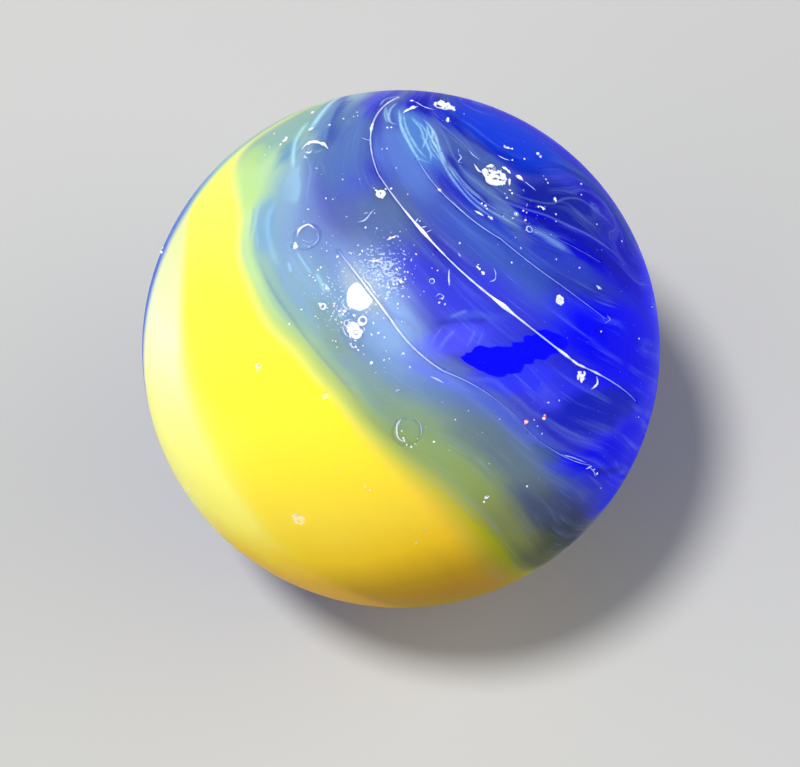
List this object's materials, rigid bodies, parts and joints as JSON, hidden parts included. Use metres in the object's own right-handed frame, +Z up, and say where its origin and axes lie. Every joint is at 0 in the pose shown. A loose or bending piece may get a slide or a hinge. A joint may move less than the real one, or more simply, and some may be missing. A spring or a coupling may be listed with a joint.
{
  "type": "glass marble",
  "caption": "Solid glass ball, cobalt blue with a yellow patch, fine fold creases and small knocks on its skin.",
  "frame": {"origin": "centre of the ball", "axes": "+Z straight up, -Z down to the point that the ball rests on, -Y towards the face that shows the creases"},
  "size_m": [0.016, 0.016, 0.016],
  "materials": {
    "marble_glass": "gloss"
  },
  "bodies": {
    "root": {"marble": "marble_glass"}
  },
  "joints": []
}
